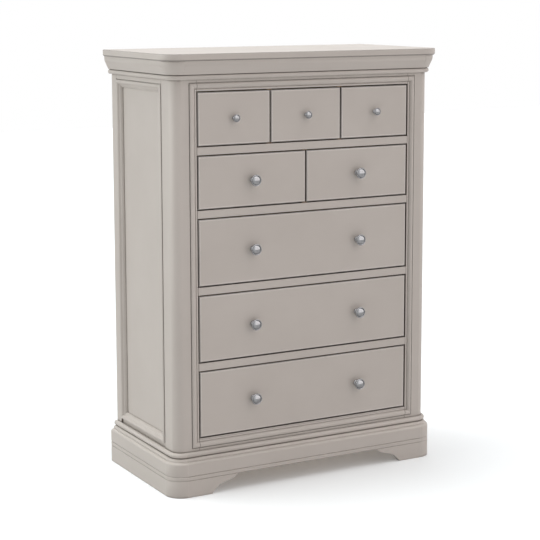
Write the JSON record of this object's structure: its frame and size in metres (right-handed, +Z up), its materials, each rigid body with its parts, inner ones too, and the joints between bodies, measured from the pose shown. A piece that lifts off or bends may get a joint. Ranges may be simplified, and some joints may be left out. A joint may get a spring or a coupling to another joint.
{
  "type": "chest of drawers",
  "caption": "Tall chest of drawers with a moulded cornice and plinth, rounded corner posts, panelled sides and round knobs; every drawer slides out to the front.",
  "frame": {"origin": "on the floor, under the middle of the chest's outer box", "axes": "+Z up, +X along the front, -Y out of the front, the way the drawers open"},
  "size_m": [0.98, 0.481, 1.36],
  "materials": {
    "painted_wood": "warm pale grey paint, satin",
    "bare_wood": "planed and unpainted",
    "sheet_wood": "thin plywood, unpainted",
    "knob_metal": "satin nickel, turned"
  },
  "bodies": {
    "carcase": {"top_panel": "painted_wood", "cornice_front": "painted_wood", "cornice_left": "painted_wood", "cornice_right": "painted_wood", "cornice_corners": "painted_wood", "corner_post_left": "painted_wood", "corner_post_right": "painted_wood", "rear_post_left": "painted_wood", "rear_post_right": "painted_wood", "side_rails_left": "painted_wood", "side_rails_right": "painted_wood", "side_panel_left": "painted_wood", "side_panel_right": "painted_wood", "side_moulding_left": "painted_wood", "side_moulding_right": "painted_wood", "top_rail": "painted_wood", "bottom_rail": "painted_wood", "drawer_rails": "painted_wood", "front_moulding": "painted_wood", "plinth_front": "painted_wood", "plinth_left": "painted_wood", "plinth_right": "painted_wood", "plinth_corners": "painted_wood", "drawer_dividers": "bare_wood", "rear_rails": "bare_wood", "drawer_runners": "bare_wood", "top_kickers": "bare_wood", "back_panel": "sheet_wood"},
    "drawer_1": {"drawer_1_front": "painted_wood", "drawer_1_box": "bare_wood", "drawer_1_bottom": "sheet_wood", "drawer_1_knobs": "knob_metal"},
    "drawer_2": {"drawer_2_front": "painted_wood", "drawer_2_box": "bare_wood", "drawer_2_bottom": "sheet_wood", "drawer_2_knobs": "knob_metal"},
    "drawer_3": {"drawer_3_front": "painted_wood", "drawer_3_box": "bare_wood", "drawer_3_bottom": "sheet_wood", "drawer_3_knobs": "knob_metal"},
    "drawer_4": {"drawer_4_front": "painted_wood", "drawer_4_box": "bare_wood", "drawer_4_bottom": "sheet_wood", "drawer_4_knobs": "knob_metal"},
    "drawer_5": {"drawer_5_front": "painted_wood", "drawer_5_box": "bare_wood", "drawer_5_bottom": "sheet_wood", "drawer_5_knobs": "knob_metal"},
    "drawer_6": {"drawer_6_front": "painted_wood", "drawer_6_box": "bare_wood", "drawer_6_bottom": "sheet_wood", "drawer_6_knobs": "knob_metal"},
    "drawer_7": {"drawer_7_front": "painted_wood", "drawer_7_box": "bare_wood", "drawer_7_bottom": "sheet_wood", "drawer_7_knobs": "knob_metal"},
    "drawer_8": {"drawer_8_front": "painted_wood", "drawer_8_box": "bare_wood", "drawer_8_bottom": "sheet_wood", "drawer_8_knobs": "knob_metal"}
  },
  "joints": [
    {"name": "drawer_1_slide", "type": "slide", "parent": "carcase", "child": "drawer_1", "axis": [0, -1, 0], "range_m": [0, 0.3]},
    {"name": "drawer_2_slide", "type": "slide", "parent": "carcase", "child": "drawer_2", "axis": [0, -1, 0], "range_m": [0, 0.3]},
    {"name": "drawer_3_slide", "type": "slide", "parent": "carcase", "child": "drawer_3", "axis": [0, -1, 0], "range_m": [0, 0.3]},
    {"name": "drawer_4_slide", "type": "slide", "parent": "carcase", "child": "drawer_4", "axis": [0, -1, 0], "range_m": [0, 0.3]},
    {"name": "drawer_5_slide", "type": "slide", "parent": "carcase", "child": "drawer_5", "axis": [0, -1, 0], "range_m": [0, 0.3]},
    {"name": "drawer_6_slide", "type": "slide", "parent": "carcase", "child": "drawer_6", "axis": [0, -1, 0], "range_m": [0, 0.3]},
    {"name": "drawer_7_slide", "type": "slide", "parent": "carcase", "child": "drawer_7", "axis": [0, -1, 0], "range_m": [0, 0.3]},
    {"name": "drawer_8_slide", "type": "slide", "parent": "carcase", "child": "drawer_8", "axis": [0, -1, 0], "range_m": [0, 0.3]}
  ]
}
